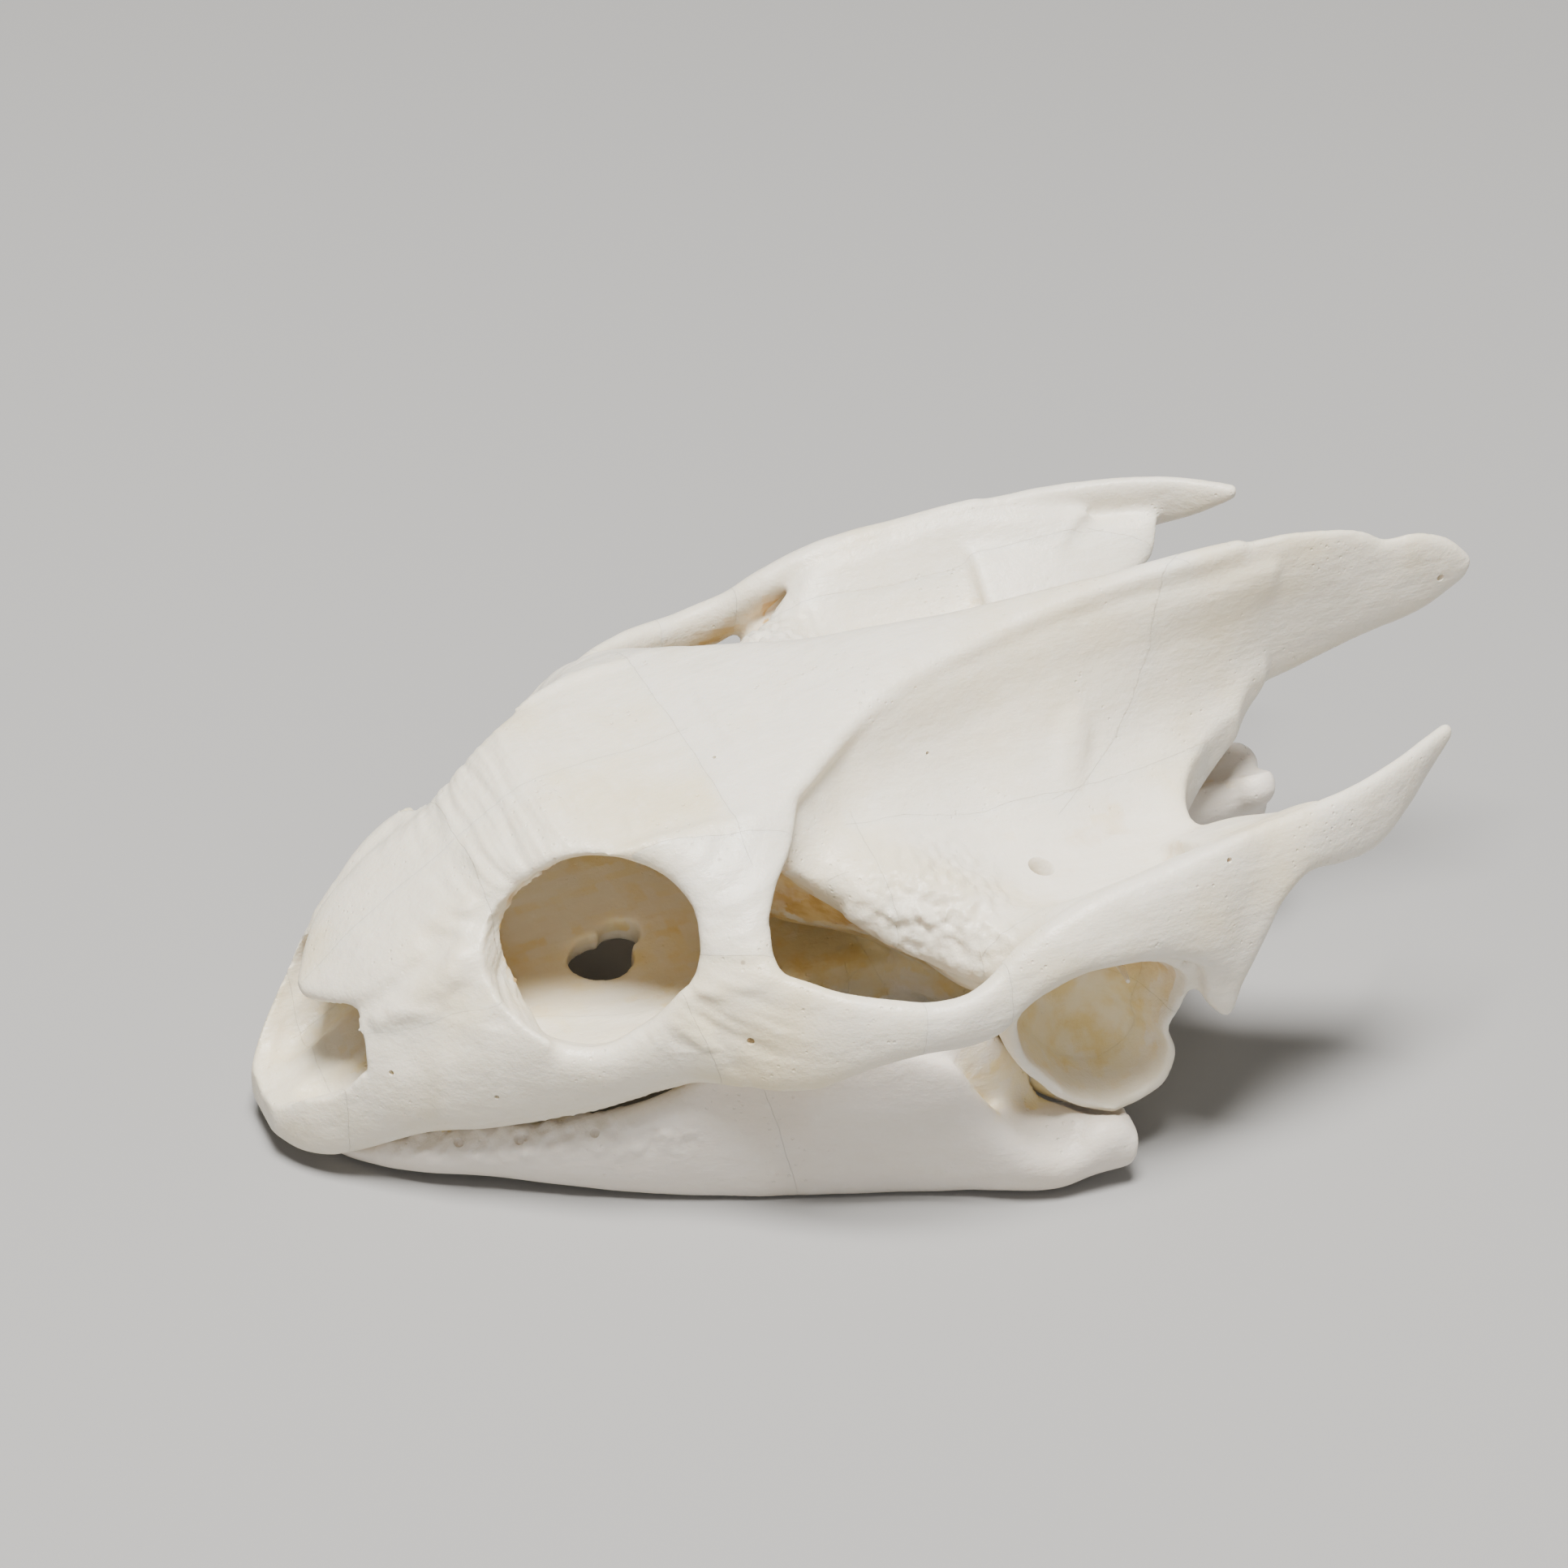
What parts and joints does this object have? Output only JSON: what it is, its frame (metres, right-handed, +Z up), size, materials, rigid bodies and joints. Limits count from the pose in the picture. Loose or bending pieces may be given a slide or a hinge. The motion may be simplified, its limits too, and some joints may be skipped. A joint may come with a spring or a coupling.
{
  "type": "softshell turtle skull",
  "caption": "Life-size skull of a softshell turtle with its lower jaw closed: long midline crest, two rear horns, open cheeks and eye sockets.",
  "frame": {"origin": "middle of the skull's bounding box, on the surface that the lower jaw rests on", "axes": "+X towards the tip of the rear crest, -X towards the snout, +Y towards the animal's right, +Z up"},
  "size_m": [0.0926, 0.0526, 0.0335],
  "materials": {
    "bone_ivory": "dry, bleached bone, satin to matt",
    "bone_warm": "dry bone with a faint yellow tinge, satin to matt",
    "bone_jaw": "dry, bleached bone, satin to matt"
  },
  "bodies": {
    "root": {"premaxilla": "bone_warm", "palate": "bone_warm", "parietal": "bone_ivory", "supraoccipital_crest": "bone_ivory", "basioccipital": "bone_jaw", "maxilla_left": "bone_warm", "maxilla_right": "bone_warm", "prefrontal_left": "bone_warm", "prefrontal_right": "bone_warm", "frontal_left": "bone_warm", "frontal_right": "bone_warm", "postorbital_left": "bone_ivory", "postorbital_right": "bone_ivory", "jugal_left": "bone_warm", "jugal_right": "bone_warm", "quadratojugal_left": "bone_ivory", "quadratojugal_right": "bone_ivory", "squamosal_left": "bone_ivory", "squamosal_right": "bone_ivory", "quadrate_left": "bone_ivory", "quadrate_right": "bone_ivory", "otic_left": "bone_ivory", "otic_right": "bone_ivory", "dentary_left": "bone_jaw", "dentary_right": "bone_jaw", "articular_left": "bone_jaw", "articular_right": "bone_jaw"}
  },
  "joints": []
}
